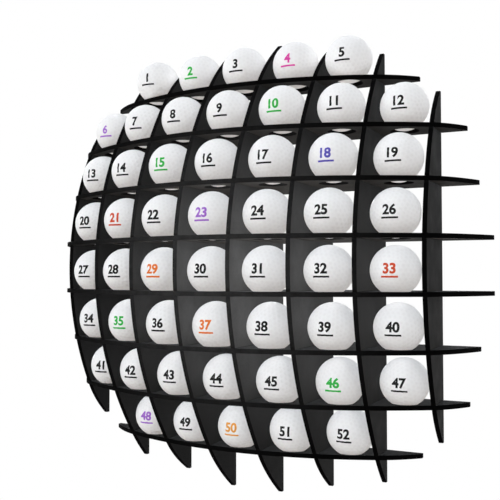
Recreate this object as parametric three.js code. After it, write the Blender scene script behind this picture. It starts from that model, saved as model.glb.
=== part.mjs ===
// Golf ball display case: eight upright ribs and eight shelves that halve into each other,
// cut so that their front edges form a dome, with one golf ball seated in each full cell.
// Millimetres, +Z up. The origin is the middle of the plane of the back edges, which lie on
// the wall; the front faces -Y and +X is to the viewer's right.
import * as THREE from 'three';

// The golf ball and its clearances in a cell
const ballDiameter = 42.67;
const ballSideGap = 2.065;
const ballHeadroom = 5.0;
const ballWallGap = 0.8;

// The slats and their halved joints
const slatThickness = 4;
const fitGap = 0.3;
const tipDepth = 3.5;

// The round seat of a ball
const seatDiameter = 25;
const seatFrontWeb = 2.5;
const seatInset = 8.5;
const seatInsetRiseShare = 0.025;

// The dome: the radii of its crown across the shelves and up the ribs
const domeRadiusAcross = 298;
const domeRadiusUp = 224;

// How far a slat runs past its outermost crossing, from the middle pair to the outer pair
const shelfTailShares = [0.91, 0.68, 0.49, 0.68];
const ribTailShares = [0.985, 0.75, 0.56, 0.73];
const tailBendShare = 0.5;

// How finely the round shapes are stepped
const baySegments = 4;
const seatSides = 20;
const ballSplitCount = 2;

// What follows from the sizes above
const slatCount = 8;
const pairCount = slatCount / 2;
const ballRadius = ballDiameter / 2;
const seatRadius = seatDiameter / 2;
const ballRestHeight = Math.sqrt((ballRadius + fitGap) ** 2 - seatRadius ** 2);
const pitchAcross = ballDiameter + 2 * ballSideGap + slatThickness;
const pitchUp = slatThickness + ballRestHeight + ballRadius + ballHeadroom;
const slotWidth = slatThickness + 2 * fitGap;

// The shallowest seat is the outermost one on the top and bottom shelves
const shallowSeatX = 2 * pitchAcross;
const shallowSeatZ = (pairCount - 0.5) * pitchUp;
const shallowSeatDepth = ballWallGap + ballRadius + seatRadius + seatFrontWeb;
const crownDepth =
  shallowSeatDepth + shallowSeatX ** 2 / (2 * domeRadiusAcross) + shallowSeatZ ** 2 / (2 * domeRadiusUp);

const slatMaterial = new THREE.MeshStandardMaterial({ color: 0x232323, roughness: 0.62, metalness: 0 });
const ballMaterial = new THREE.MeshStandardMaterial({ color: 0xe9e8e6, roughness: 0.3, metalness: 0 });

// Depth of the dome in front of the wall
function domeDepth(x, z) {
  return crownDepth - x ** 2 / (2 * domeRadiusAcross) - z ** 2 / (2 * domeRadiusUp);
}

// Place of slat number index (0 to 7) along its row, counted from the middle of the case
function slatPlace(index, pitch) {
  return (index - (slatCount - 1) / 2) * pitch;
}

// 0 for the middle pair of slats up to 3 for the outer pair
function pairOf(index) {
  return index < pairCount ? pairCount - 1 - index : index - pairCount;
}

// The outer pair of slats crosses six of the other family, and every other pair crosses eight
function crossingIndices(index) {
  const skipped = pairOf(index) === pairCount - 1 ? 1 : 0;
  const indices = [];
  for (let other = skipped; other < slatCount - skipped; other += 1) {
    indices.push(other);
  }
  return indices;
}

// The parabola that a slat's front edge follows: its depth in the middle and its crown radius
function frontEdge(middleDepth, radius) {
  return {
    depth: (u) => middleDepth - u ** 2 / (2 * radius),
    // Where the tangents at two places meet, which is the control point of the stretch between
    bend: (from, to) => middleDepth - (from * to) / (2 * radius),
    slope: (u) => -u / radius,
  };
}

// Draws the front edge from its left tip to its right tip, with the slots that open forwards
function drawFrontEdge(shape, slat) {
  const { edge, reach, crossings, slotFromFront } = slat;
  const halfSlot = slotFromFront ? slotWidth / 2 : 0;
  const first = crossings[0] - halfSlot;
  const last = crossings[crossings.length - 1] + halfSlot;
  const leftBend = first + (-reach - first) * tailBendShare;
  shape.lineTo(-reach, -tipDepth);
  shape.quadraticCurveTo(
    leftBend, -(edge.depth(first) + edge.slope(first) * (leftBend - first)),
    first, -edge.depth(first));
  crossings.forEach((place, i) => {
    const leave = place + halfSlot;
    if (slotFromFront) {
      const floor = -(edge.depth(place) - fitGap) / 2;
      shape.lineTo(place - halfSlot, floor);
      shape.lineTo(leave, floor);
      shape.lineTo(leave, -edge.depth(leave));
    }
    if (i + 1 < crossings.length) {
      const arrive = crossings[i + 1] - halfSlot;
      shape.quadraticCurveTo(
        (leave + arrive) / 2, -edge.bend(leave, arrive),
        arrive, -edge.depth(arrive));
    }
  });
  const rightBend = last + (reach - last) * tailBendShare;
  shape.quadraticCurveTo(
    rightBend, -(edge.depth(last) + edge.slope(last) * (rightBend - last)),
    reach, -tipDepth);
}

// Draws the straight back edge from right to left, with the slots that open to the wall
function drawBackEdge(shape, slat) {
  const { edge, reach, crossings, slotFromFront } = slat;
  shape.lineTo(reach, 0);
  if (slotFromFront) {
    return;
  }
  for (const place of [...crossings].reverse()) {
    const floor = -(edge.depth(place) + fitGap) / 2;
    shape.lineTo(place + slotWidth / 2, 0);
    shape.lineTo(place + slotWidth / 2, floor);
    shape.lineTo(place - slotWidth / 2, floor);
    shape.lineTo(place - slotWidth / 2, 0);
  }
}

// One flat slat in its own plane: x runs along it and y towards the wall
function slatGeometry(slat, seats) {
  const shape = new THREE.Shape();
  shape.moveTo(-slat.reach, 0);
  drawFrontEdge(shape, slat);
  drawBackEdge(shape, slat);
  shape.closePath();
  for (const seat of seats) {
    shape.holes.push(seatHole(seat));
  }
  return new THREE.ExtrudeGeometry(shape, {
    depth: slatThickness,
    curveSegments: baySegments,
    bevelEnabled: false,
  });
}

// The round hole under a ball: the flats of its outline touch the seat's circle
function seatHole(seat) {
  const cornerRadius = seatRadius / Math.cos(Math.PI / seatSides);
  const circle = new THREE.EllipseCurve(seat.x, seat.y, cornerRadius, cornerRadius);
  return new THREE.Path(circle.getPoints(seatSides));
}

// The seats of a shelf, one in the middle of each cell, set back from the front edge.
// They lie deeper on the higher shelves, and never so deep that a ball meets the wall.
function shelfSeats(shelfIndex) {
  const z = -slatPlace(shelfIndex, pitchUp);
  const crossed = crossingIndices(shelfIndex);
  return crossed.slice(0, -1).map((ribIndex, i) => {
    const x = slatPlace(ribIndex, pitchAcross) + pitchAcross / 2;
    const wished = seatRadius + seatInset + z * seatInsetRiseShare;
    const deepest = domeDepth(x, z) - ballRadius - ballWallGap;
    return { number: i + 1, x, y: Math.min(wished, deepest) - domeDepth(x, z) };
  });
}

// Shelf 1 is the highest and shelf 8 the lowest. Their slots open to the wall.
function makeShelf(index) {
  const z = -slatPlace(index, pitchUp);
  const crossings = crossingIndices(index).map((i) => slatPlace(i, pitchAcross));
  const slat = {
    edge: frontEdge(domeDepth(0, z), domeRadiusAcross),
    reach: crossings[crossings.length - 1] + shelfTailShares[pairOf(index)] * pitchAcross,
    crossings,
    slotFromFront: false,
  };
  const shelf = new THREE.Mesh(slatGeometry(slat, shelfSeats(index)), slatMaterial);
  shelf.name = `shelf_${index + 1}`;
  shelf.position.z = z - slatThickness / 2;
  return shelf;
}

// Rib 1 is at the viewer's left and rib 8 at the right. Their slots open forwards.
function makeRib(index) {
  const x = slatPlace(index, pitchAcross);
  const crossings = crossingIndices(index).map((i) => slatPlace(i, pitchUp));
  const slat = {
    edge: frontEdge(domeDepth(x, 0), domeRadiusUp),
    reach: crossings[crossings.length - 1] + ribTailShares[pairOf(index)] * pitchUp,
    crossings,
    slotFromFront: true,
  };
  const rib = new THREE.Mesh(slatGeometry(slat, []), slatMaterial);
  rib.name = `rib_${index + 1}`;
  rib.rotation.y = -Math.PI / 2;
  rib.position.x = x + slatThickness / 2;
  return rib;
}

// The balls of one shelf, by seat number. The first seat of each shelf is left open.
function makeBalls(shelfIndex) {
  const top = -slatPlace(shelfIndex, pitchUp) + slatThickness / 2;
  return shelfSeats(shelfIndex).slice(1).map((seat) => {
    const ball = new THREE.Mesh(new THREE.IcosahedronGeometry(ballRadius, ballSplitCount), ballMaterial);
    ball.name = `ball_${shelfIndex + 1}_${seat.number}`;
    ball.position.set(seat.x, seat.y, top + ballRestHeight);
    return ball;
  });
}

const displayCase = new THREE.Group();
for (let index = 0; index < slatCount; index += 1) {
  displayCase.add(makeShelf(index), makeRib(index), ...makeBalls(index));
}

export default displayCase;
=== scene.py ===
"""Looks of the golf ball display case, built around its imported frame.

The case hangs on a wall, with the straight back edges of its slats in the plane y = 0. The
dome of front edges faces -Y, +X is to the viewer's right and +Z is up. Lengths are in metres.
"""
import logging
import math
from collections.abc import Iterable, Mapping, Sequence
from dataclasses import dataclass, field
from enum import Enum
from typing import ClassVar

import bmesh
import bpy
import numpy as np
from mathutils import Euler, Matrix, Vector


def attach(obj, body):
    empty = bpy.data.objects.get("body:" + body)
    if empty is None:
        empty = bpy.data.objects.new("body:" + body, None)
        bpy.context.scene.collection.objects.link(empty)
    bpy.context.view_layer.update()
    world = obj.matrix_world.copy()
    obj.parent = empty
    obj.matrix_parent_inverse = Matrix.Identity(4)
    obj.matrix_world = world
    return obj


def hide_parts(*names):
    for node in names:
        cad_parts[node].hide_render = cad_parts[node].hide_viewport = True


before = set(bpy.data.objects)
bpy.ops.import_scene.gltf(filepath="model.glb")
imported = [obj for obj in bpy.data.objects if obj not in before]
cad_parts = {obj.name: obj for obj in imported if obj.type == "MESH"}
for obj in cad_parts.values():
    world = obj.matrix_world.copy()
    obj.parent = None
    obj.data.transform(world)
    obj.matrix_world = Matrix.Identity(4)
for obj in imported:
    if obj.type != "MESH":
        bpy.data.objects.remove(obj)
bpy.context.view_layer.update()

LOG = logging.getLogger("golf_ball_case")
MM = 0.001
RACK_BODY = "rack"

Point = tuple[float, float]
Range = tuple[float, float]
Triple = tuple[float, float, float]
Colour = tuple[float, float, float, float]
WHITE: Colour = (1.0, 1.0, 1.0, 1.0)


class Sock:
    """An output of a shader node. Arithmetic on it adds Math nodes."""

    def __init__(self, shader: "Shader", socket: bpy.types.NodeSocket) -> None:
        """Keep the socket and the shader that it belongs to."""
        self.shader = shader
        self.socket = socket

    def _math(self, operation: str, first: "Number", second: "Number") -> "Sock":
        """Add one Math node.

        Args:
            operation: The Math node's operation.
            first: Its first value.
            second: Its second value.

        Returns:
            The node's result.
        """
        return self.shader.node("ShaderNodeMath", {"operation": operation}, {0: first, 1: second})

    def __add__(self, other: "Number") -> "Sock":
        """Add a number or another socket."""
        return self._math("ADD", self, other)

    def __radd__(self, other: "Number") -> "Sock":
        """Add to a number."""
        return self._math("ADD", other, self)

    def __sub__(self, other: "Number") -> "Sock":
        """Subtract a number or another socket."""
        return self._math("SUBTRACT", self, other)

    def __rsub__(self, other: "Number") -> "Sock":
        """Subtract from a number."""
        return self._math("SUBTRACT", other, self)

    def __mul__(self, other: "Number") -> "Sock":
        """Multiply by a number or another socket."""
        return self._math("MULTIPLY", self, other)

    def __rmul__(self, other: "Number") -> "Sock":
        """Multiply a number."""
        return self._math("MULTIPLY", other, self)


Number = float | Sock
Value = float | Colour | Sock | Sequence[float]


@dataclass(frozen=True)
class Grain:
    """A noise: how many of its patches lie on a metre, its finer layers and their strength."""

    scale: float
    layers: float
    strength: float = 0.5


class Shader:
    """The node tree of a material or of the world, and the way to add nodes to it."""

    def __init__(self, owner: bpy.types.Material | bpy.types.World) -> None:
        """Empty the owner's node tree.

        Args:
            owner: The material or world that is given nodes.
        """
        self.owner = owner
        owner.use_nodes = True
        self.tree = owner.node_tree
        self.tree.nodes.clear()
        is_world = isinstance(owner, bpy.types.World)
        self.output = "ShaderNodeOutputWorld" if is_world else "ShaderNodeOutputMaterial"

    def node(
        self,
        kind: str,
        settings: Mapping[str, object] | None = None,
        inputs: Mapping[str | int, Value] | None = None,
        output: str | int = 0,
    ) -> Sock:
        """Add a node, set it up and feed it.

        Args:
            kind: Blender's name of the node's type.
            settings: Its settings, which are set first.
            inputs: Values or links by the socket's identifier, name or number.
            output: The identifier, name or number of the output that is wanted.

        Returns:
            That output.
        """
        made = self.tree.nodes.new(kind)
        for name, value in (settings or {}).items():
            setattr(made, name, value)
        for key, value in (inputs or {}).items():
            self._feed(self._find(made.inputs, key), value)
        return Sock(self, self._find(made.outputs, output))

    def mix(self, share: Number, first: Value, second: Value, blend: str = "MIX") -> Sock:
        """Mix two colours.

        Args:
            share: How much of the second colour there is.
            first: The colour at share 0.
            second: The colour at share 1.
            blend: How the second colour is laid over the first.

        Returns:
            The mixed colour.
        """
        return self.node(
            "ShaderNodeMix",
            {"data_type": "RGBA", "blend_type": blend, "clamp_result": False},
            {"Factor_Float": share, "A_Color": first, "B_Color": second},
            "Result_Color",
        )

    def noise(self, where: Sock, grain: Grain) -> Sock:
        """Add a noise pattern.

        Args:
            where: The coordinates that it follows.
            grain: How fine it is.

        Returns:
            The noise, about 0.5 on average.
        """
        return self.node(
            "ShaderNodeTexNoise",
            {"noise_dimensions": "3D"},
            {"Vector": where, "Scale": grain.scale, "Detail": grain.layers, "Roughness": grain.strength},
            "Fac",
        )

    def spread(self, pattern: Number, source: Range, target: Range, easing: str = "LINEAR") -> Sock:
        """Stretch part of a pattern's range to another range, held at its ends.

        Args:
            pattern: The values to stretch.
            source: The two values that go to the ends of the target.
            target: The ends of the result.
            easing: How the result runs from end to end.

        Returns:
            The stretched values.
        """
        low, high = source
        to_low, to_high = target
        return self.node(
            "ShaderNodeMapRange",
            {"clamp": True, "interpolation_type": easing},
            {"Value": pattern, "From Min": low, "From Max": high, "To Min": to_low, "To Max": to_high},
            "Result",
        )

    def bump(self, height: Sock, strength: float, distance: float) -> Sock:
        """Turn a height pattern into a normal.

        Args:
            height: The pattern.
            strength: How much of the bump shows.
            distance: What a height of 1 stands for, in metres.

        Returns:
            The normal.
        """
        return self.node(
            "ShaderNodeBump",
            {},
            {"Strength": strength, "Distance": distance, "Height": height},
            "Normal",
        )

    def principled(self, inputs: Mapping[str, Value]) -> Sock:
        """Add a Principled BSDF.

        Args:
            inputs: Its values or links by socket name.

        Returns:
            The shader.
        """
        return self.node("ShaderNodeBsdfPrincipled", {}, inputs, "BSDF")

    def between(self, share: Number, first: Sock, second: Sock) -> Sock:
        """Mix two shaders.

        Args:
            share: How much of the second shader there is.
            first: The shader at share 0.
            second: The shader at share 1.

        Returns:
            The mixed shader.
        """
        return self.node("ShaderNodeMixShader", {}, {0: share, 1: first, 2: second})

    def vector(self, operation: str, first: Value, second: Value, output: str = "Vector") -> Sock:
        """Work on two vectors.

        Args:
            operation: The Vector Math node's operation.
            first: The first vector.
            second: The second vector.
            output: Vector or Value, whichever the operation gives.

        Returns:
            The node's result.
        """
        return self.node("ShaderNodeVectorMath", {"operation": operation}, {0: first, 1: second}, output)

    def neutral(self, level: Number) -> Sock:
        """Give a neutral colour.

        Args:
            level: Its brightness in linear light.

        Returns:
            The colour.
        """
        return self.node(
            "ShaderNodeCombineColor", {"mode": "RGB"}, {"Red": level, "Green": level, "Blue": level}
        )

    def place(self) -> Sock:
        """Give the piece's own coordinates, in metres."""
        return self.node("ShaderNodeTexCoord", {}, {}, "Object")

    def surface(self, shader: Sock) -> None:
        """Send a shader to the output.

        Args:
            shader: The finished shader.
        """
        output = self.tree.nodes.new(self.output)
        self.tree.links.new(shader.socket, output.inputs["Surface"])

    def finish(self, inputs: Mapping[str, Value]) -> bpy.types.Material:
        """Send a Principled BSDF to the output.

        Args:
            inputs: Its values or links by socket name.

        Returns:
            The finished material.
        """
        self.surface(self.principled(inputs))
        return self.owner

    def _find(self, sockets: Iterable[bpy.types.NodeSocket], key: str | int) -> bpy.types.NodeSocket:
        """Find a socket by number, identifier or name, in that order.

        Args:
            sockets: A node's inputs or outputs.
            key: What to look for.

        Returns:
            The socket.
        """
        if isinstance(key, int):
            return sockets[key]
        for socket in sockets:
            if socket.identifier == key:
                return socket
        return sockets[key]

    def _feed(self, socket: bpy.types.NodeSocket, value: Value) -> None:
        """Link a socket or set its value.

        Args:
            socket: The input to feed.
            value: A link's start or a value.
        """
        if isinstance(value, Sock):
            self.tree.links.new(value.socket, socket)
        else:
            socket.default_value = value


def put(data: bpy.types.Mesh | bpy.types.Light | bpy.types.Camera) -> bpy.types.Object:
    """Put something in the scene, under its own name.

    Args:
        data: What to put there.

    Returns:
        Its object, at the origin.
    """
    made = bpy.data.objects.new(data.name, data)
    bpy.context.scene.collection.objects.link(made)
    return made


def mesh_of(curve: bpy.types.Curve) -> bpy.types.Mesh:
    """Turn a curve or a text into a mesh.

    Args:
        curve: What to turn, which is taken away.

    Returns:
        The mesh.
    """
    holder = bpy.data.objects.new(curve.name, curve)
    mesh = bpy.data.meshes.new_from_object(holder)
    bpy.data.objects.remove(holder)
    bpy.data.curves.remove(curve)
    return mesh


@dataclass(frozen=True)
class FrontFade:
    """Painted light: a pool of light painted into the paint's colour, brightest at one place of the front
    and fading towards the rim.

    It counts places across and up the case, and not how far in front of the wall they are.
    """

    # The place of the front where the painted light is brightest.
    palest: Triple
    reach: float = 150.0 * MM
    counted: ClassVar[Triple] = (1.0, 0.0, 1.0)

    def tone(self, shader: Shader, brightness: Range) -> Sock:
        """Give the paint's brightness over the case, with the painted pool of light in it.

        Args:
            shader: The material's nodes.
            brightness: What it is at the brightest place of the painted light, and from the reach onwards.

        Returns:
            The brightness.
        """
        flat = shader.vector("MULTIPLY", shader.place(), self.counted)
        away = shader.vector("DISTANCE", flat, self.palest, "Value")
        # Painted light: brighter near the lit middle, falling off smoothly towards the rim.
        return shader.spread(away, (0.0, self.reach), brightness, "SMOOTHSTEP")


@dataclass(frozen=True)
class SlatPaint:
    """Satin black paint on a slat, with painted light that makes it paler towards the middle of the front.
    """

    name: str
    # Colour level at the brightest place of the painted light, and at the rim.
    brightness: Range
    fade: FrontFade
    patches: Grain = Grain(55.0, 4.0, 0.6)
    skin: Grain = Grain(900.0, 3.0, 0.65)
    skin_share: float = 0.35
    spot_range: Range = (0.36, 0.64)
    mottle_share: float = 0.16
    patch_range: Range = (0.35, 0.65)
    roughness: Range = (0.58, 0.76)
    shine: float = 0.012
    bump_strength: float = 0.22
    bump_depth: float = 0.12 * MM

    def material(self) -> bpy.types.Material:
        """Build the finish.

        Returns:
            A faintly mottled satin paint with a fine pebbled skin.
        """
        shader = Shader(bpy.data.materials.new(self.name))
        where = shader.place()
        patches = shader.noise(where, self.patches)
        skin = shader.noise(where, self.skin)
        spots = shader.spread(
            patches * (1 - self.skin_share) + skin * self.skin_share,
            self.spot_range,
            (1 - self.mottle_share, 1 + self.mottle_share),
        )
        return shader.finish(
            {
                # Painted light: the pool of light, times a random mottle.
                "Base Color": shader.neutral(self.fade.tone(shader, self.brightness) * spots),
                "Roughness": shader.spread(patches, self.patch_range, self.roughness),
                "Specular IOR Level": self.shine,
                "Normal": shader.bump(skin, self.bump_strength, self.bump_depth),
            }
        )


@dataclass(frozen=True)
class BallCover:
    """The white cover of a golf ball: a glossy clear coat over white paint."""

    name: str = "ball_cover"
    white: Colour = (0.835, 0.835, 0.84, 1.0)
    shaded: Colour = (0.815, 0.81, 0.805, 1.0)
    # Painted shade in the dimples' hollows, multiplied in by their depth.
    in_dimple: Colour = (0.955, 0.952, 0.95, 1.0)
    dimple_share: float = 0.8
    patches: Grain = Grain(70.0, 3.0)
    patch_range: Range = (0.4, 0.7)
    shaded_share: Range = (0.0, 0.5)
    scuffs: Grain = Grain(650.0, 4.0, 0.6)
    scuff_range: Range = (0.35, 0.7)
    scuff_strength: float = 1.0
    scuff_depth: float = 0.006 * MM
    roughness: Range = (0.30, 0.46)
    coat: float = 0.12
    coat_roughness: float = 0.25
    shine: float = 0.2
    glow: float = 0.12
    glow_depth: float = 5.0 * MM
    glow_colours: Triple = (1.0, 1.0, 1.0)
    dimple_layer: ClassVar[str] = "dimple"

    def material(self) -> bpy.types.Material:
        """Build the finish.

        Returns:
            A glossy white that is a little deeper in the dimples.
        """
        shader = Shader(bpy.data.materials.new(self.name))
        where = shader.place()
        patches = shader.noise(where, self.patches)
        scuffs = shader.noise(where, self.scuffs)
        depth = shader.node("ShaderNodeAttribute", {"attribute_name": self.dimple_layer}, {}, "Fac")
        tone = shader.spread(patches, self.patch_range, self.shaded_share)
        cover = shader.mix(tone, self.white, self.shaded)
        # Painted shade: darker where the dimples are deeper.
        dimple_shaded = shader.mix(depth * self.dimple_share, cover, self.in_dimple, "MULTIPLY")
        return shader.finish(
            {
                "Base Color": dimple_shaded,
                "Roughness": shader.spread(scuffs, self.scuff_range, self.roughness),
                "Coat Weight": self.coat,
                "Coat Roughness": self.coat_roughness,
                "Specular IOR Level": self.shine,
                "Subsurface Weight": self.glow,
                "Subsurface Radius": self.glow_colours,
                "Subsurface Scale": self.glow_depth,
                "Normal": shader.bump(scuffs, self.scuff_strength, self.scuff_depth),
            }
        )


class InkColour(Enum):
    """The colours in which the balls' numbers are printed."""

    BLACK = (0.004, 0.004, 0.004, 1.0)
    GREEN = (0.030, 0.420, 0.060, 1.0)
    MAGENTA = (0.640, 0.045, 0.330, 1.0)
    PURPLE = (0.330, 0.130, 0.560, 1.0)
    BLUE = (0.085, 0.070, 0.420, 1.0)
    ORANGE = (0.720, 0.170, 0.020, 1.0)
    GOLD = (0.740, 0.330, 0.055, 1.0)
    RED = (0.560, 0.065, 0.018, 1.0)


@dataclass(frozen=True)
class PrintInk:
    """The ink of a ball's number."""

    colour: InkColour
    worn_share: float = 0.05
    worn_tone: float = 0.8
    density: Grain = Grain(1400.0, 3.0)
    thin_range: Range = (0.5, 0.75)
    density_range: Range = (0.35, 0.65)
    roughness: Range = (0.45, 0.65)
    shine: float = 0.1

    def material(self) -> bpy.types.Material:
        """Build the finish.

        Returns:
            A thin ink whose density varies a little.
        """
        shader = Shader(bpy.data.materials.new(f"ink_{self.colour.name.lower()}"))
        density = shader.noise(shader.place(), self.density)
        dense = self.colour.value
        thin = tuple(c + (self.worn_tone - c) * self.worn_share for c in dense[:3]) + (1.0,)
        share = shader.spread(density, self.thin_range, (0.0, 1.0))
        return shader.finish(
            {
                "Base Color": shader.mix(share, dense, thin),
                "Roughness": shader.spread(density, self.density_range, self.roughness),
                "Specular IOR Level": self.shine,
            }
        )


@dataclass(frozen=True)
class CaseSizes:
    """The driving sizes of the case, as its solids have them."""

    ball_diameter: float = 42.67 * MM
    ball_side_gap: float = 2.065 * MM
    ball_headroom: float = 5.0 * MM
    ball_wall_gap: float = 0.8 * MM
    slat_thickness: float = 4.0 * MM
    fit_gap: float = 0.3 * MM
    tip_depth: float = 3.5 * MM
    seat_diameter: float = 25.0 * MM
    seat_front_web: float = 2.5 * MM
    seat_inset: float = 8.5 * MM
    seat_inset_rise_share: float = 0.025
    dome_radius_across: float = 298.0 * MM
    dome_radius_up: float = 224.0 * MM
    shelf_tail_shares: tuple[float, ...] = (0.91, 0.68, 0.49, 0.68)
    rib_tail_shares: tuple[float, ...] = (0.985, 0.75, 0.56, 0.73)
    tail_bend_share: float = 0.5
    slat_count: int = 8

    @property
    def ball_radius(self) -> float:
        """Half the ball's diameter."""
        return self.ball_diameter / 2

    @property
    def seat_radius(self) -> float:
        """Half the seat's diameter."""
        return self.seat_diameter / 2

    @property
    def ball_rest_height(self) -> float:
        """Height of a seated ball's middle above its shelf."""
        return math.sqrt((self.ball_radius + self.fit_gap) ** 2 - self.seat_radius**2)

    @property
    def pitch_across(self) -> float:
        """Distance from rib to rib."""
        return self.ball_diameter + 2 * self.ball_side_gap + self.slat_thickness

    @property
    def pitch_up(self) -> float:
        """Distance from shelf to shelf."""
        return self.slat_thickness + self.ball_rest_height + self.ball_radius + self.ball_headroom

    @property
    def crown_depth(self) -> float:
        """Depth of the dome in its middle.

        The outermost seats of the top and bottom shelves are the shallowest, and set it.

        Returns:
            The distance from the wall.
        """
        shallow = self.ball_wall_gap + self.ball_radius + self.seat_radius + self.seat_front_web
        x = 2 * self.pitch_across
        z = (self.slat_count - 1) / 2 * self.pitch_up
        return shallow + x**2 / (2 * self.dome_radius_across) + z**2 / (2 * self.dome_radius_up)

    def dome_depth(self, x: float, z: float) -> float:
        """Give the depth of the dome in front of the wall.

        Args:
            x: Place across the case.
            z: Place up the case.

        Returns:
            The distance from the wall to the front edges there.
        """
        return self.crown_depth - x**2 / (2 * self.dome_radius_across) - z**2 / (2 * self.dome_radius_up)

    def slat_place(self, index: int, pitch: float) -> float:
        """Give the place of a slat along its row.

        Args:
            index: Its number, from 0 to 7.
            pitch: The distance between slats of its family.

        Returns:
            The distance from the middle of the case.
        """
        return (index - (self.slat_count - 1) / 2) * pitch

    def pair_of(self, index: int) -> int:
        """Give 0 for the middle pair of slats up to 3 for the outer pair."""
        half = self.slat_count // 2
        return half - 1 - index if index < half else index - half

    def crossings_of(self, index: int) -> list[int]:
        """Give the numbers of the other family's slats that a slat crosses."""
        skipped = 1 if self.pair_of(index) == self.slat_count // 2 - 1 else 0
        return list(range(skipped, self.slat_count - skipped))

    def seats_of(self, shelf: int) -> list[tuple[float, float]]:
        """Give the middles of a shelf's round seats.

        Args:
            shelf: The shelf's number, from 0 at the top.

        Returns:
            The x and y of each seat, from the viewer's left.
        """
        z = -self.slat_place(shelf, self.pitch_up)
        found = []
        for rib in self.crossings_of(shelf)[:-1]:
            x = self.slat_place(rib, self.pitch_across) + self.pitch_across / 2
            wished = self.seat_radius + self.seat_inset + z * self.seat_inset_rise_share
            deepest = self.dome_depth(x, z) - self.ball_radius - self.ball_wall_gap
            found.append((x, min(wished, deepest) - self.dome_depth(x, z)))
        return found

    def ball_height(self, shelf: int) -> float:
        """Give the height of the middles of the balls on a shelf."""
        return -self.slat_place(shelf, self.pitch_up) + self.slat_thickness / 2 + self.ball_rest_height


class Family(Enum):
    """The two families of slats."""

    SHELF = "shelf"
    RIB = "rib"


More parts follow.
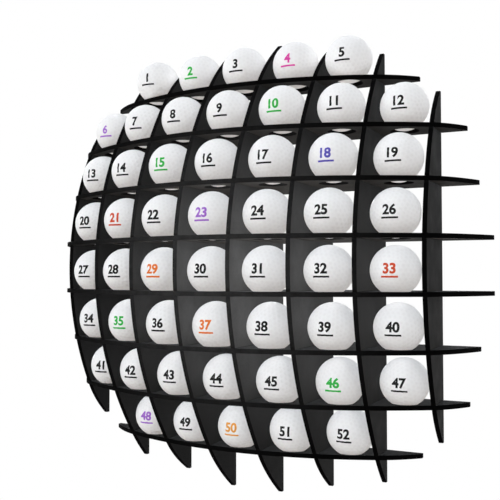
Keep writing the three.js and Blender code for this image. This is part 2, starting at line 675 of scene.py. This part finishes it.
@dataclass
class Slat:
    """One slat: a flat board with a curved front edge, the slots of its joints and its seats.

    Its slots grip the crossing slats closer than those of its solid, so that no light shows.
    """

    sizes: CaseSizes
    family: Family
    index: int
    joint_gap: float = 0.04 * MM
    rounding: float = 0.3 * MM
    rounding_steps: int = 1
    bay_steps: int = 14
    tail_steps: int = 22
    seat_steps: int = 56
    weld: float = 0.0005 * MM
    flat_cosine: float = 0.999
    normal_weight: int = 100

    @property
    def node(self) -> str:
        """The name of the solid that the slat stands for."""
        return f"{self.family.value}_{self.index + 1}"

    @property
    def is_rib(self) -> bool:
        """Whether the slat stands upright and is slotted from the front."""
        return self.family is Family.RIB

    @property
    def place(self) -> float:
        """Where the slat stands in its family.

        Returns:
            The height of a shelf, or the place of a rib across the case.
        """
        if self.is_rib:
            return self.sizes.slat_place(self.index, self.sizes.pitch_across)
        return -self.sizes.slat_place(self.index, self.sizes.pitch_up)

    @property
    def dome_radius(self) -> float:
        """The crown radius that the front edge follows."""
        return self.sizes.dome_radius_up if self.is_rib else self.sizes.dome_radius_across

    @property
    def middle_depth(self) -> float:
        """Depth of the front edge in its middle."""
        across, up = (self.place, 0.0) if self.is_rib else (0.0, self.place)
        return self.sizes.dome_depth(across, up)

    @property
    def slot_width(self) -> float:
        """Width of the slots of the halved joints."""
        return self.sizes.slat_thickness + 2 * self.joint_gap

    @property
    def pitch_along(self) -> float:
        """Distance between the slats that this one crosses."""
        return self.sizes.pitch_up if self.is_rib else self.sizes.pitch_across

    @property
    def crossings(self) -> list[float]:
        """Places of the crossing slats along this one."""
        return [self.sizes.slat_place(i, self.pitch_along) for i in self.sizes.crossings_of(self.index)]

    @property
    def reach(self) -> float:
        """Distance from the middle to either tip."""
        shares = self.sizes.rib_tail_shares if self.is_rib else self.sizes.shelf_tail_shares
        return self.crossings[-1] + shares[self.sizes.pair_of(self.index)] * self.pitch_along

    def depth(self, along: float) -> float:
        """Give the depth of the front edge at a place along the slat."""
        return self.middle_depth - along**2 / (2 * self.dome_radius)

    def tail(self, start: float) -> list[Point]:
        """Draw the right tail of the front edge, from the last crossing to the tip.

        Args:
            start: Where the tail leaves the dome.

        Returns:
            The points after the first, the tip among them.
        """
        bend = start + (self.reach - start) * self.sizes.tail_bend_share
        bend_depth = self.depth(start) - start / self.dome_radius * (bend - start)
        corners = ((start, self.depth(start)), (bend, bend_depth), (self.reach, self.sizes.tip_depth))
        line = []
        for step in range(1, self.tail_steps + 1):
            t = step / self.tail_steps
            weights = ((1 - t) ** 2, 2 * t * (1 - t), t**2)
            line.append(
                (
                    sum(w * u for w, (u, _) in zip(weights, corners)),
                    -sum(w * d for w, (_, d) in zip(weights, corners)),
                )
            )
        return line

    def front_line(self) -> list[Point]:
        """Draw the front edge from the left tip to the right tip, with a rib's slots.

        Returns:
            Its points, depth counted down from the wall.
        """
        half_slot = self.slot_width / 2 if self.is_rib else 0.0
        right_tail = self.tail(self.crossings[-1] + half_slot)
        line = [(-u, v) for u, v in reversed(right_tail)]
        for number, place in enumerate(self.crossings):
            arrive, leave = place - half_slot, place + half_slot
            line.append((arrive, -self.depth(arrive)))
            if self.is_rib:
                floor = -(self.depth(place) - self.joint_gap) / 2
                line += [(arrive, floor), (leave, floor), (leave, -self.depth(leave))]
            if number + 1 < len(self.crossings):
                until = self.crossings[number + 1] - half_slot
                for step in range(1, self.bay_steps):
                    along = leave + (until - leave) * step / self.bay_steps
                    line.append((along, -self.depth(along)))
        return line + right_tail

    def back_line(self) -> list[Point]:
        """Draw the straight back edge from the right tip to the left tip, with a shelf's slots.

        Returns:
            Its points.
        """
        line = [(self.reach, 0.0)]
        if not self.is_rib:
            half_slot = self.slot_width / 2
            for place in reversed(self.crossings):
                floor = -(self.depth(place) + self.joint_gap) / 2
                line += [(place + half_slot, 0.0), (place + half_slot, floor)]
                line += [(place - half_slot, floor), (place - half_slot, 0.0)]
        return [*line, (-self.reach, 0.0)]

    def seat_rings(self) -> list[list[Point]]:
        """Draw the rings of the round seats, which only shelves have.

        Returns:
            The points of each ring.
        """
        if self.is_rib:
            return []
        turns = [math.tau * step / self.seat_steps for step in range(self.seat_steps)]
        radius = self.sizes.seat_radius
        return [
            [(x + radius * math.cos(turn), y + radius * math.sin(turn)) for turn in turns]
            for x, y in self.sizes.seats_of(self.index)
        ]

    def board(self) -> bpy.types.Mesh:
        """Cut the board in its own plane, with its edges slightly rounded.

        Returns:
            A closed mesh, x along the slat, y towards the wall and z through its thickness.
        """
        curve = bpy.data.curves.new(f"{self.node}_outline", "CURVE")
        curve.dimensions = "2D"
        curve.fill_mode = "BOTH"
        curve.extrude = (self.sizes.slat_thickness / 2 - self.rounding) / MM
        curve.bevel_depth = self.rounding / MM
        curve.bevel_resolution = self.rounding_steps
        curve.offset = -self.rounding / MM
        for ring in [self.front_line() + self.back_line(), *self.seat_rings()]:
            spline = curve.splines.new("POLY")
            spline.points.add(len(ring) - 1)
            for point, (along, depth) in zip(spline.points, ring, strict=True):
                point.co = (along / MM, depth / MM, 0.0, 1.0)
            spline.use_cyclic_u = True
        mesh = mesh_of(curve)
        mesh.transform(Matrix.Scale(MM, 4))
        cut = bmesh.new()
        cut.from_mesh(mesh)
        bmesh.ops.remove_doubles(cut, verts=cut.verts, dist=self.weld)
        bmesh.ops.recalc_face_normals(cut, faces=cut.faces)
        cut.to_mesh(mesh)
        cut.free()
        return mesh

    def stand(self) -> Matrix:
        """Give the move from the board's own plane to its place in the case.

        Returns:
            The move, which turns a rib upright.
        """
        if self.is_rib:
            turn = Matrix(((0, 0, -1), (0, 1, 0), (1, 0, 0))).to_4x4()
            return Matrix.Translation((self.place, 0, 0)) @ turn
        return Matrix.Translation((0, 0, self.place))

    def build(self, face: bpy.types.Material, edge: bpy.types.Material) -> bpy.types.Object:
        """Make the slat and set it in place of its solid.

        Args:
            face: The finish of the two flat faces.
            edge: The finish of the cut edges, slots and seats.

        Returns:
            The slat.
        """
        mesh = self.board()
        mesh.materials.clear()
        mesh.materials.append(face)
        mesh.materials.append(edge)
        for polygon in mesh.polygons:
            polygon.material_index = 0 if abs(polygon.normal.z) > self.flat_cosine else 1
            polygon.use_smooth = True
        mesh.transform(self.stand())
        mesh.name = f"slat_{self.node}"
        slat = put(mesh)
        evened = slat.modifiers.new("even_normals", "WEIGHTED_NORMAL")
        evened.mode = "FACE_AREA"
        evened.weight = self.normal_weight
        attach(slat, RACK_BODY)
        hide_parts(self.node)
        return slat


@dataclass
class DimplePattern:
    """The dimples of a golf ball, laid out on the points of a split icosahedron."""

    radius: float
    splits: int = 6
    width_share: float = 0.90
    depth: float = 0.45 * MM
    shoulder_share: float = 0.55
    same_point: float = 1e-5
    off_middle: Triple = (0.3, 0.5, 0.8)
    middles: np.ndarray = field(init=False)
    widths: np.ndarray = field(init=False)
    points: np.ndarray = field(init=False)
    depths: np.ndarray = field(init=False)
    faces: list[tuple[int, ...]] = field(init=False)

    def __post_init__(self) -> None:
        """Lay out the dimples and the mesh of one ball."""
        self.middles, triangles = self._grid()
        self._mesh_cells(triangles)

    def _grid(self) -> tuple[np.ndarray, list[tuple[int, int, int]]]:
        """Split an icosahedron's faces evenly and press the points onto a sphere.

        Returns:
            Unit vectors to the points, and the small triangles between them.
        """
        solid = bmesh.new()
        bmesh.ops.create_icosphere(solid, subdivisions=1, radius=1.0)
        corners = [np.array(v.co) for v in solid.verts]
        sides = [tuple(v.index for v in f.verts) for f in solid.faces]
        solid.free()
        found: dict[tuple[int, ...], int] = {}
        middles: list[np.ndarray] = []

        def number(point: np.ndarray) -> int:
            """Number a point, and keep it if it is new.

            Args:
                point: A point on a face of the icosahedron.

            Returns:
                Its number among the middles.
            """
            unit = point / np.linalg.norm(point)
            key = tuple(int(round(c / self.same_point)) for c in unit)
            if key not in found:
                found[key] = len(middles)
                middles.append(unit)
            return found[key]

        triangles = []
        for a, b, c in sides:
            rows = [
                [
                    number(corners[a] * (self.splits - i) + corners[b] * (i - j) + corners[c] * j)
                    for j in range(i + 1)
                ]
                for i in range(self.splits + 1)
            ]
            for i in range(self.splits):
                for j in range(i + 1):
                    triangles.append((rows[i][j], rows[i + 1][j], rows[i + 1][j + 1]))
                    if j < i:
                        triangles.append((rows[i][j], rows[i + 1][j + 1], rows[i][j + 1]))
        return np.array(middles), triangles

    def _rings(self, triangles: list[tuple[int, int, int]]) -> list[list[int]]:
        """Find the dimples round each dimple.

        Args:
            triangles: The triangles between the dimples' middles.

        Returns:
            For each dimple the numbers of its neighbours, in order round it.
        """
        near: list[set[int]] = [set() for _ in self.middles]
        for triangle in triangles:
            for i in triangle:
                near[i].update(set(triangle) - {i})
        rings = []
        for middle, found in zip(self.middles, near):
            side = np.cross(middle, self.off_middle)
            side /= np.linalg.norm(side)
            up = np.cross(middle, side)
            places = {n: math.atan2(self.middles[n] @ up, self.middles[n] @ side) for n in found}
            rings.append(sorted(places, key=places.get))
        return rings

    def _mesh_cells(self, triangles: list[tuple[int, int, int]]) -> None:
        """Mesh the cell round each dimple: its bowl, its rim and the land outside it.

        Args:
            triangles: The triangles between the dimples' middles.
        """
        points: list[np.ndarray] = []
        shared: dict[tuple[int, ...], int] = {}

        def keep(point: np.ndarray) -> int:
            """Press a point onto the unit sphere, keep it and give its number."""
            points.append(point / np.linalg.norm(point))
            return len(points) - 1

        def land(around: Sequence[int]) -> int:
            """Give a point of the land, which the cells that meet there share.

            Args:
                around: The two or three dimples that it lies between.

            Returns:
                Its number.
            """
            key = tuple(sorted(around))
            if key not in shared:
                shared[key] = keep(sum(self.middles[i] for i in key))
            return shared[key]

        self.widths = np.zeros(len(self.middles))
        self.faces = []
        for i, (middle, ring) in enumerate(zip(self.middles, self._rings(triangles))):
            outer = []
            for n, after in zip(ring, ring[1:] + ring[:1]):
                outer += [land((i, n)), land((i, n, after))]
            outer_points = np.array([points[n] for n in outer])
            cosines = outer_points @ middle
            self.widths[i] = np.arccos(np.clip(cosines, -1, 1)).min() * self.width_share
            ways = outer_points - np.outer(cosines, middle)
            ways /= np.linalg.norm(ways, axis=1)[:, None]
            bowl, rim = (
                [keep(math.cos(angle) * middle + math.sin(angle) * way) for way in ways]
                for angle in (self.widths[i] * self.shoulder_share, self.widths[i])
            )
            top = keep(middle)
            for a in range(len(outer)):
                b = (a + 1) % len(outer)
                self.faces.append((top, bowl[a], bowl[b]))
                self.faces.append((bowl[a], rim[a], rim[b], bowl[b]))
                self.faces.append((rim[a], outer[a], outer[b], rim[b]))
        self.points = np.array(points)
        self.depths = self.depth_at(self.points)

    def depth_at(self, ways: np.ndarray) -> np.ndarray:
        """Give how deep the dimples lie under the ball's round, as a share of their full depth.

        Args:
            ways: Unit vectors from the ball's middle, in the pattern's own frame.

        Returns:
            The share at each, 0 on the land.
        """
        cosines = ways @ self.middles.T
        nearest = cosines.argmax(axis=1)
        angle = np.arccos(np.clip(cosines[np.arange(len(ways)), nearest], -1, 1))
        return np.clip(1 - (angle / self.widths[nearest]) ** 2, 0, 1)

    def surface(self, ways: np.ndarray) -> np.ndarray:
        """Give the distance from the ball's middle to its surface.

        Args:
            ways: Unit vectors, in the pattern's own frame.

        Returns:
            The distance along each.
        """
        return self.radius - self.depth * self.depth_at(ways)


@dataclass
class NumberPrint:
    """A plain number over a short bar, as a thin film of ink on a ball."""

    width: float = 12.5 * MM
    height: float = 8.8 * MM
    bar_width: float = 14.0 * MM
    bar_height: float = 1.5 * MM
    bar_gap: float = 1.7 * MM
    boldness: float = 0.036
    curve_steps: int = 6
    weld: float = 0.002 * MM
    longest_edge: float = 0.85 * MM
    split_passes: int = 5
    film: float = 0.10 * MM

    def drawing(self, number: int) -> tuple[np.ndarray, list[tuple[int, ...]]]:
        """Draw the number and its bar on a flat sheet.

        Args:
            number: What to print.

        Returns:
            The points of the sheet, and its small triangles.
        """
        text = bpy.data.curves.new(f"number_{number}", "FONT")
        text.body = str(number)
        text.align_x = "CENTER"
        text.offset = self.boldness
        text.resolution_u = self.curve_steps
        flat = mesh_of(text)
        sheet = bmesh.new()
        sheet.from_mesh(flat)
        bpy.data.meshes.remove(flat)
        self._fit(sheet)
        low = -(self.height + self.bar_gap + self.bar_height) / 2
        corners = [
            sheet.verts.new((side * self.bar_width / 2, low + rise * self.bar_height, 0))
            for side, rise in ((-1, 0), (1, 0), (1, 1), (-1, 1))
        ]
        sheet.faces.new(corners)
        bmesh.ops.remove_doubles(sheet, verts=sheet.verts, dist=self.weld)
        for _ in range(self.split_passes):
            long = [e for e in sheet.edges if e.calc_length() > self.longest_edge]
            bmesh.ops.subdivide_edges(sheet, edges=long, cuts=1)
            bmesh.ops.triangulate(sheet, faces=sheet.faces)
        for face in sheet.faces:
            if face.normal.z < 0:
                face.normal_flip()
        points = np.array([v.co[:2] for v in sheet.verts])
        sheet.verts.index_update()
        faces = [tuple(v.index for v in f.verts) for f in sheet.faces]
        sheet.free()
        return points, faces

    def _fit(self, sheet: bmesh.types.BMesh) -> None:
        """Scale the drawn number to its printed size, above the bar.

        Args:
            sheet: The number as the font gives it.
        """
        places = np.array([v.co[:2] for v in sheet.verts])
        low, high = places.min(axis=0), places.max(axis=0)
        scale = min(self.height / (high[1] - low[1]), self.width / (high[0] - low[0]))
        middle = (low + high) / 2
        lift = (self.bar_gap + self.bar_height) / 2
        for vertex in sheet.verts:
            vertex.co.x = (vertex.co.x - middle[0]) * scale
            vertex.co.y = (vertex.co.y - middle[1]) * scale + lift

    def wrap(
        self, number: int, pattern: DimplePattern, turn: np.ndarray
    ) -> tuple[np.ndarray, list[tuple[int, ...]]]:
        """Lay the print on a ball as a closed film.

        Args:
            number: What to print.
            pattern: The ball's dimples.
            turn: The rotation of the dimples on this ball.

        Returns:
            The film's points from the ball's middle, and its faces.
        """
        places, faces = self.drawing(number)
        u, v = places[:, 0] / pattern.radius, places[:, 1] / pattern.radius
        ways = np.column_stack((u, -np.sqrt(1 - u**2 - v**2), v))
        distance = pattern.surface(ways @ turn)
        top = ways * (distance + self.film)[:, None]
        under = ways * (distance - self.film)[:, None]
        count = len(places)
        sides: dict[tuple[int, int], int] = {}
        for face in faces:
            for a, b in zip(face, face[1:] + face[:1]):
                sides[(a, b)] = sides.get((a, b), 0) + 1
        walls = [(b, a, a + count, b + count) for a, b in sides if (b, a) not in sides]
        underside = [tuple(n + count for n in reversed(face)) for face in faces]
        return np.concatenate((top, under)), faces + underside + walls


@dataclass
class GolfBall:
    """One golf ball in its seat."""

    sizes: CaseSizes
    shelf: int
    seat: int
    number: int
    ink: InkColour

    @property
    def name(self) -> str:
        """Shelf and seat as the solids count them, from 1."""
        return f"{self.shelf + 1}_{self.seat + 1}"

    @property
    def has_solid(self) -> bool:
        """Whether the ball is a solid and a body of its own, as all but the first seat's are."""
        return self.seat > 0

    @property
    def middle(self) -> Vector:
        """The ball's middle at rest."""
        x, y = self.sizes.seats_of(self.shelf)[self.seat]
        return Vector((x, y, self.sizes.ball_height(self.shelf)))

    def build(
        self,
        pattern: DimplePattern,
        number_print: NumberPrint,
        turn: np.ndarray,
        cover: bpy.types.Material,
        ink: bpy.types.Material,
    ) -> bpy.types.Object:
        """Make the ball with its number and seat it.

        Args:
            pattern: The dimples that all the balls share.
            number_print: The form of the number.
            turn: How the ball happens to lie, as a rotation.
            cover: The finish of the ball.
            ink: The finish of the number.

        Returns:
            The ball.
        """
        round_points = pattern.points * (pattern.radius - pattern.depth * pattern.depths)[:, None]
        print_points, print_faces = number_print.wrap(self.number, pattern, turn)
        start = len(round_points)
        mesh = bpy.data.meshes.new(f"golf_ball_{self.name}")
        mesh.from_pydata(
            np.concatenate((round_points @ turn.T, print_points)),
            [],
            pattern.faces + [tuple(n + start for n in face) for face in print_faces],
        )
        mesh.materials.append(cover)
        mesh.materials.append(ink)
        slots = np.zeros(len(mesh.polygons), np.int32)
        slots[len(pattern.faces) :] = 1
        mesh.polygons.foreach_set("material_index", slots)
        mesh.polygons.foreach_set("use_smooth", slots == 0)
        layer = mesh.attributes.new(BallCover.dimple_layer, "FLOAT", "POINT")
        shares = np.zeros(len(mesh.vertices), np.float32)
        shares[:start] = pattern.depths
        layer.data.foreach_set("value", shares)
        mesh.transform(Matrix.Translation(self.middle))
        ball = put(mesh)
        if self.has_solid:
            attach(ball, f"ball_{self.name}")
            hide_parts(f"ball_{self.name}")
        else:
            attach(ball, RACK_BODY)
        return ball


@dataclass
class BallCollection:
    """The balls of the case, numbered from the top left, with the colours of their prints."""

    sizes: CaseSizes
    seed: int = 52
    coloured: Mapping[tuple[int, int], InkColour] = field(
        default_factory=lambda: {
            (1, 2): InkColour.GREEN,
            (1, 4): InkColour.MAGENTA,
            (2, 1): InkColour.PURPLE,
            (2, 5): InkColour.GREEN,
            (3, 3): InkColour.GREEN,
            (3, 6): InkColour.BLUE,
            (4, 2): InkColour.RED,
            (4, 4): InkColour.PURPLE,
            (5, 3): InkColour.ORANGE,
            (5, 7): InkColour.RED,
            (6, 2): InkColour.GREEN,
            (6, 4): InkColour.ORANGE,
            (7, 6): InkColour.GREEN,
            (8, 1): InkColour.PURPLE,
            (8, 3): InkColour.GOLD,
        }
    )

    def balls(self) -> list[GolfBall]:
        """List the balls.

        Returns:
            The balls, shelf by shelf from the top.
        """
        found: list[GolfBall] = []
        for shelf in range(self.sizes.slat_count):
            for seat in range(len(self.sizes.seats_of(shelf))):
                ink = self.coloured.get((shelf + 1, seat + 1), InkColour.BLACK)
                found.append(GolfBall(self.sizes, shelf, seat, len(found) + 1, ink))
        return found

    def build(self) -> list[bpy.types.Object]:
        """Make every ball.

        Returns:
            The balls, in order of their numbers.
        """
        random = np.random.default_rng(self.seed)
        pattern = DimplePattern(self.sizes.ball_radius)
        number_print = NumberPrint()
        cover = BallCover().material()
        inks = {colour: PrintInk(colour).material() for colour in InkColour}
        made = []
        for ball in self.balls():
            turn = np.array(Euler(random.uniform(0, math.tau, 3)).to_matrix())
            made.append(ball.build(pattern, number_print, turn, cover, inks[ball.ink]))
            LOG.info("%s: number %d in %s", made[-1].name, ball.number, ball.ink.name.lower())
        return made


@dataclass
class Rack:
    """The lattice of shelves and ribs."""

    sizes: CaseSizes

    def faces(self) -> dict[Family, SlatPaint]:
        """Give the paint of the flat faces, each family with its own painted light.

        Returns:
            The paint of each family: the same paint with its own painted light.
        """
        return {
            # Shelves and ribs differ only in their painted light: how bright it is and where it is
            # brightest.
            Family.SHELF: SlatPaint(
                "shelf_face",
                brightness=(0.086, 0.017),
                fade=FrontFade((30.0 * MM, 0.0, 25.0 * MM)),
            ),
            Family.RIB: SlatPaint(
                "rib_face",
                brightness=(0.084, 0.0125),
                fade=FrontFade((22.0 * MM, 0.0, -15.0 * MM)),
            ),
        }

    def edges(self) -> SlatPaint:
        """Give the paint of the cut edges, darker and duller than the faces, with a painted pool of light
        towards the middle.

        Returns:
            The paint, with the fine lines of a cut edge in its skin.
        """
        return SlatPaint(
            "board_edge",
            # Painted light: the edges are far brighter near the middle of the front than at the rim.
            brightness=(0.027, 0.0010),
            fade=FrontFade((-5.0 * MM, 0.0, -5.0 * MM), reach=190.0 * MM),
            patches=Grain(160.0, 3.0),
            skin=Grain(1500.0, 2.0, 0.7),
            skin_share=0.5,
            spot_range=(0.38, 0.62),
            mottle_share=0.30,
            roughness=(0.65, 0.85),
            bump_strength=0.35,
            bump_depth=0.1 * MM,
        )

    def build(self) -> list[bpy.types.Object]:
        """Make every slat.

        Returns:
            The shelves from the top and the ribs from the left.
        """
        faces = {family: paint.material() for family, paint in self.faces().items()}
        edge = self.edges().material()
        made = []
        for family, face in faces.items():
            for index in range(self.sizes.slat_count):
                made.append(Slat(self.sizes, family, index).build(face, edge))
                LOG.info("%s: %d faces", made[-1].name, len(made[-1].data.polygons))
        return made


def hang(light: bpy.types.Light, side: Triple, place: Triple = (0.0, 0.0, 0.0)) -> bpy.types.Object:
    """Hang a light and turn it to the case.

    Args:
        light: The light.
        side: The way from the case to the side that the light comes from.
        place: Where it hangs, which only a lamp needs.

    Returns:
        The light's object.
    """
    lamp = put(light)
    lamp.location = place
    lamp.rotation_mode = "QUATERNION"
    lamp.rotation_quaternion = Vector(side).to_track_quat("Z", "Y")
    return lamp


@dataclass(frozen=True)
class SoftLamp:
    """A square soft lamp that faces the case."""

    name: str
    place: Triple
    size: float
    power: float
    colour: Triple

    def build(self) -> bpy.types.Object:
        """Hang the lamp.

        Returns:
            The lamp.
        """
        light = bpy.data.lights.new(self.name, "AREA")
        light.shape = "SQUARE"
        light.size = self.size
        light.energy = self.power
        light.color = self.colour
        return hang(light, self.place, self.place)


@dataclass(frozen=True)
class SideLight:
    """Even light from one side for some objects alone, which may pass through the others."""

    name: str
    side: Triple
    strength: float
    colour: Triple
    spread: float = math.pi
    shadowed: bool = False

    def build(self, lit: bpy.types.Collection) -> bpy.types.Object:
        """Set up the light.

        Args:
            lit: The objects that it lights.

        Returns:
            The light.
        """
        light = bpy.data.lights.new(self.name, "SUN")
        light.angle = self.spread
        light.energy = self.strength
        light.color = self.colour
        light.use_shadow = self.shadowed
        light.cycles.use_multiple_importance_sampling = self.shadowed
        lamp = hang(light, self.side)
        lamp.light_linking.receiver_collection = lit
        return lamp


@dataclass
class Studio:
    """The white surroundings, the pale floor, the lights and the camera."""

    floor_height: float = -450.0 * MM
    floor_radius: float = 620.0 * MM
    floor_fade_start: float = 260.0 * MM
    floor_rings: int = 12
    floor_sides: int = 72
    floor_colour: Colour = (0.86, 0.86, 0.86, 1.0)
    floor_in_bounces: Colour = (0.16, 0.16, 0.16, 1.0)
    floor_glow: float = 0.45
    floor_roughness: float = 0.85
    ambient: Colour = (0.985, 0.99, 1.0, 1.0)
    ambient_strength: float = 0.15
    eye: Triple = (312.6 * MM, -678.2 * MM, -8.5 * MM)
    yaw: float = math.radians(25.33)
    pitch: float = math.radians(1.92)
    roll: float = math.radians(-0.017)
    sensor_mm: float = 36.0
    focal_pixels: float = 757.8
    picture_pixels: float = 500.0
    nearest: float = 10.0 * MM
    furthest: float = 20.0

    def world(self) -> None:
        """Make surroundings that show white and light the case softly."""
        world = bpy.data.worlds.new("studio")
        bpy.context.scene.world = world
        shader = Shader(world)
        dim, white = (
            shader.node("ShaderNodeBackground", {}, {"Color": colour, "Strength": strength})
            for colour, strength in ((self.ambient, self.ambient_strength), (WHITE, 1.0))
        )
        shader.surface(shader.between(self._seen(shader), dim, white))

    def _seen(self, shader: Shader) -> Sock:
        """Tell which rays show the surroundings: the camera's, and those in gloss and glass.

        Args:
            shader: The world's nodes.

        Returns:
            1 for these rays and 0 for all others.
        """
        camera, glossy, transmission = (
            shader.node("ShaderNodeLightPath", {}, {}, f"Is {kind} Ray")
            for kind in ("Camera", "Glossy", "Transmission")
        )
        return 1 - (1 - camera) * (1 - glossy) * (1 - transmission)

    def floor(self) -> bpy.types.Object:
        """Lay a pale round floor that fades into the white surroundings.

        Returns:
            The floor.
        """
        disc = bmesh.new()
        rows = []
        for ring in range(1, self.floor_rings + 1):
            radius = self.floor_radius * ring / self.floor_rings
            rows.append(
                [
                    disc.verts.new((radius * math.cos(turn), radius * math.sin(turn), self.floor_height))
                    for turn in (math.tau * n / self.floor_sides for n in range(self.floor_sides))
                ]
            )
        disc.faces.new(rows[0])
        for inner, outer in zip(rows, rows[1:]):
            for n in range(self.floor_sides):
                after = (n + 1) % self.floor_sides
                disc.faces.new((inner[n], outer[n], outer[after], inner[after]))
        mesh = bpy.data.meshes.new("studio_floor")
        disc.to_mesh(mesh)
        disc.free()
        mesh.materials.append(self._floor_finish())
        floor = put(mesh)
        return floor

    def _floor_finish(self) -> bpy.types.Material:
        """Build the floor's finish.

        Returns:
            A pale matt finish, clear where the floor ends and dim as a source of light.
        """
        shader = Shader(bpy.data.materials.new("pale_floor"))
        away = shader.vector("DISTANCE", shader.place(), (0.0, 0.0, self.floor_height), "Value")
        fade = shader.spread(away, (self.floor_fade_start, self.floor_radius), (0.0, 1.0))
        seen = shader.node("ShaderNodeLightPath", {}, {}, "Is Camera Ray")
        colour = shader.mix(seen, self.floor_in_bounces, self.floor_colour)
        matt = shader.principled({"Base Color": colour, "Roughness": self.floor_roughness})
        glow = shader.node("ShaderNodeEmission", {}, {"Color": WHITE, "Strength": 1.0})
        pale = shader.between(seen * self.floor_glow, matt, glow)
        shader.surface(shader.between(fade, pale, shader.node("ShaderNodeBsdfTransparent")))
        return shader.owner

    def lamps(self) -> list[SoftLamp]:
        """List the lamps.

        Returns:
            Two lamps in front, which shade the case softly.
        """
        return [
            SoftLamp("key_lamp", place=(-0.7, -1.4, 1.15), size=1.4, power=2.2, colour=(0.95, 0.975, 1.0)),
            SoftLamp("fill_lamp", place=(1.3, -1.2, 0.1), size=1.2, power=1.5, colour=(0.99, 0.99, 1.0)),
        ]

    def open_lights(self) -> list[SideLight]:
        """List the lights without shadows, which even out the cells.

        Returns:
            Cool light from above, warm light from below, and two lights from the sides.
        """
        return [
            SideLight("cool_open_light", side=(0.0, 0.0, 1.0), strength=1.55, colour=(0.90, 0.945, 1.0)),
            SideLight("warm_open_light", side=(0.0, 0.0, -1.0), strength=0.66, colour=(1.0, 0.83, 0.68)),
            SideLight("side_open_light", side=(1.0, 0.0, 0.0), strength=0.88, colour=(0.98, 0.99, 1.0)),
            SideLight(
                "grazing_open_light",
                side=(-0.755, -0.63, 0.17),
                strength=1.4,
                colour=(0.97, 0.985, 1.0),
                spread=0.15,
            ),
        ]

    def floor_light(self) -> SideLight:
        """Give the light that casts the case's soft shadow on the floor.

        Returns:
            The light, which is for the floor alone.
        """
        return SideLight(
            "floor_light",
            side=(-0.25, -0.45, 1.0),
            strength=3.3,
            colour=(1.0, 1.0, 1.0),
            spread=0.5,
            shadowed=True,
        )

    def camera(self) -> bpy.types.Object:
        """Stand the camera where the photograph was taken from.

        Returns:
            The camera.
        """
        ahead = Vector(
            (
                -math.sin(self.yaw) * math.cos(self.pitch),
                math.cos(self.yaw) * math.cos(self.pitch),
                math.sin(self.pitch),
            )
        )
        right = Vector((math.cos(self.yaw), math.sin(self.yaw), 0.0))
        up = right.cross(ahead)
        turn = Matrix((right, up, -ahead)).transposed() @ Matrix.Rotation(self.roll, 3, "Z")
        lens = bpy.data.cameras.new("photo_camera")
        lens.sensor_width = self.sensor_mm
        lens.lens = self.sensor_mm * self.focal_pixels / self.picture_pixels
        lens.clip_start = self.nearest
        lens.clip_end = self.furthest
        camera = put(lens)
        camera.matrix_world = Matrix.Translation(self.eye) @ turn.to_4x4()
        bpy.context.scene.camera = camera
        return camera

    def build(self, pieces: Sequence[bpy.types.Object]) -> None:
        """Make the surroundings, the floor, the lights and the camera.

        Args:
            pieces: The slats and the balls, which the open lights light alone.
        """
        self.world()
        ground = bpy.data.collections.new("ground")
        ground.objects.link(self.floor())
        self.floor_light().build(ground)
        for lamp in self.lamps():
            lamp.build()
        lit = bpy.data.collections.new("case_pieces")
        for piece in pieces:
            lit.objects.link(piece)
        for light in self.open_lights():
            light.build(lit)
        self.camera()
        bpy.context.scene.view_settings.view_transform = "Standard"


def main() -> None:
    """Build the case and its surroundings, piece by piece."""
    logging.basicConfig(level=logging.INFO, format="%(message)s")
    sizes = CaseSizes()
    slats = Rack(sizes).build()
    balls = BallCollection(sizes).build()
    Studio().build([*slats, *balls])
    LOG.info("%d slats and %d balls", len(slats), len(balls))


if __name__ == "__main__":
    main()
